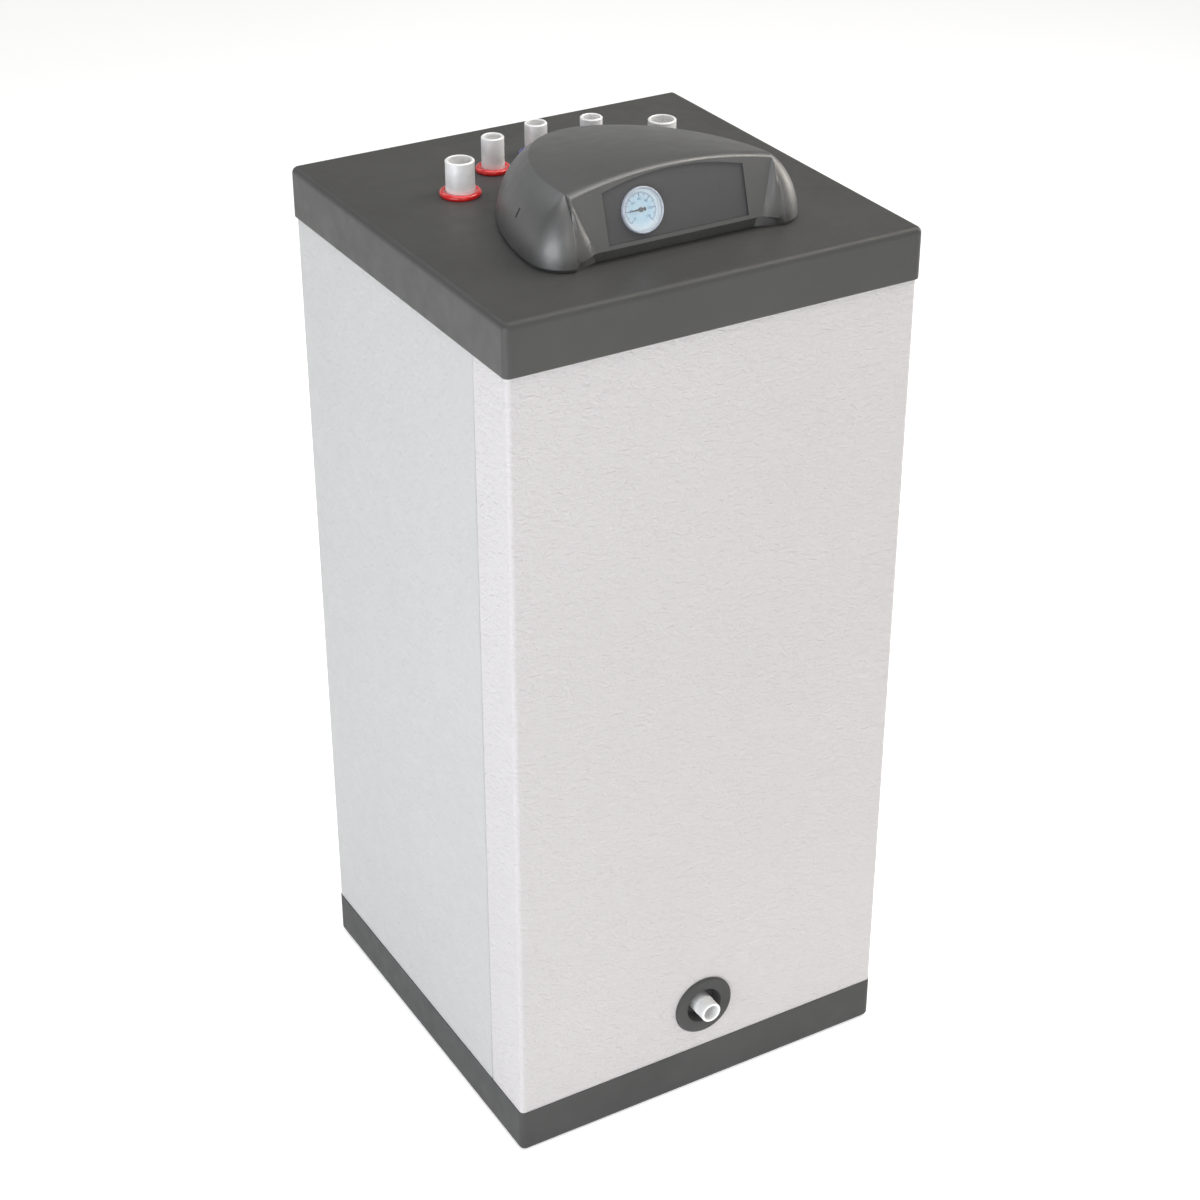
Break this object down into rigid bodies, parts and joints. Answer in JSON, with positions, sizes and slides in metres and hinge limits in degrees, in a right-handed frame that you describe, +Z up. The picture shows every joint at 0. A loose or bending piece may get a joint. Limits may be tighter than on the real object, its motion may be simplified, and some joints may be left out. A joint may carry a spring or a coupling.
{
  "type": "tank water heater",
  "caption": "Floor-standing hot water tank in a square casing with a domed console, a thermometer, pipe ends on top and a drain low on the front.",
  "frame": {"origin": "middle of the base tray's flat underside, on the floor and on the tank's axis", "axes": "+Z up, the front with the console's face and the drain looks along -Y, +X to the right as seen from the front"},
  "size_m": [0.52, 0.537, 1.1885],
  "materials": {
    "dark_plastic": "fine grained",
    "stand_steel": "primed",
    "foam": "cut foam",
    "front_sheet": "embossed coating",
    "side_sheet": "embossed coating",
    "enamel": "enamelled",
    "rubber": "matt",
    "zinc_steel": "zinc plated",
    "anode": "cast",
    "brass": "drawn",
    "pipe_zinc": "dull zinc",
    "natural_plastic": "moulded",
    "red_plastic": "glossy",
    "blue_plastic": "glossy",
    "console_plastic": "fine grained",
    "black_plastic": "moulded",
    "fascia": "textured",
    "white_plastic": "glossy",
    "dial": "printed",
    "gauge_glass": "clear",
    "copper": "drawn",
    "cream_plastic": "moulded",
    "foot_steel": "painted"
  },
  "bodies": {
    "heater": {"base_tray": "dark_plastic", "tank_stand": "stand_steel", "insulation_foam": "foam", "front_panel": "front_sheet", "side_back_panel": "side_sheet", "top_cover": "dark_plastic", "tank_shell": "enamel", "tank_top_end": "enamel", "tank_bottom_end": "enamel", "flange_neck": "stand_steel", "flange_ring": "stand_steel", "flange_gasket": "rubber", "flange_plate": "zinc_steel", "flange_bolts": "zinc_steel", "anode_rod": "anode", "anode_nut": "zinc_steel", "sensor_well": "brass", "heating_coil": "enamel", "heating_inlet": "pipe_zinc", "heating_outlet": "pipe_zinc", "hot_water_outlet": "pipe_zinc", "cold_water_inlet": "pipe_zinc", "circulation_inlet": "pipe_zinc", "cold_dip_tube": "natural_plastic", "circulation_tube": "natural_plastic", "drain_stub": "pipe_zinc", "drain_rosette": "dark_plastic", "hot_rings": "red_plastic", "cold_rings": "blue_plastic", "console_housing": "console_plastic", "console_clips": "black_plastic", "fascia_plate": "fascia", "gauge_body": "white_plastic", "gauge_dial": "dial", "gauge_glass": "gauge_glass", "gauge_bezel": "white_plastic", "gauge_capillary": "copper", "thermostat_bracket": "zinc_steel", "thermostat_body": "cream_plastic", "thermostat_capillary": "copper", "terminal_block": "cream_plastic", "cable_grommet": "rubber", "bracket_screws": "zinc_steel"},
    "pointer": {"gauge_pointer": "black_plastic"},
    "knob": {"thermostat_knob": "black_plastic"},
    "foot_1": {"levelling_foot_1": "foot_steel"},
    "foot_2": {"levelling_foot_2": "foot_steel"},
    "foot_3": {"levelling_foot_3": "foot_steel"},
    "foot_4": {"levelling_foot_4": "foot_steel"}
  },
  "joints": [
    {"name": "gauge_pointer_turn", "type": "hinge", "parent": "heater", "child": "pointer", "pos_m": [-0.0412, -0.16535, 1.147], "axis": [0, 0.9598, -0.2807], "range_deg": [-45, 225]},
    {"name": "thermostat_knob_turn", "type": "hinge", "parent": "heater", "child": "knob", "pos_m": [0.048, -0.112, 1.14], "axis": [0, 1, 0], "range_deg": [0, 270]},
    {"name": "foot_1_screw", "type": "slide", "parent": "heater", "child": "foot_1", "axis": [0, 0, -1], "range_m": [0, 0.02]},
    {"name": "foot_2_screw", "type": "slide", "parent": "heater", "child": "foot_2", "axis": [0, 0, -1], "range_m": [0, 0.02]},
    {"name": "foot_3_screw", "type": "slide", "parent": "heater", "child": "foot_3", "axis": [0, 0, -1], "range_m": [0, 0.02]},
    {"name": "foot_4_screw", "type": "slide", "parent": "heater", "child": "foot_4", "axis": [0, 0, -1], "range_m": [0, 0.02]}
  ]
}
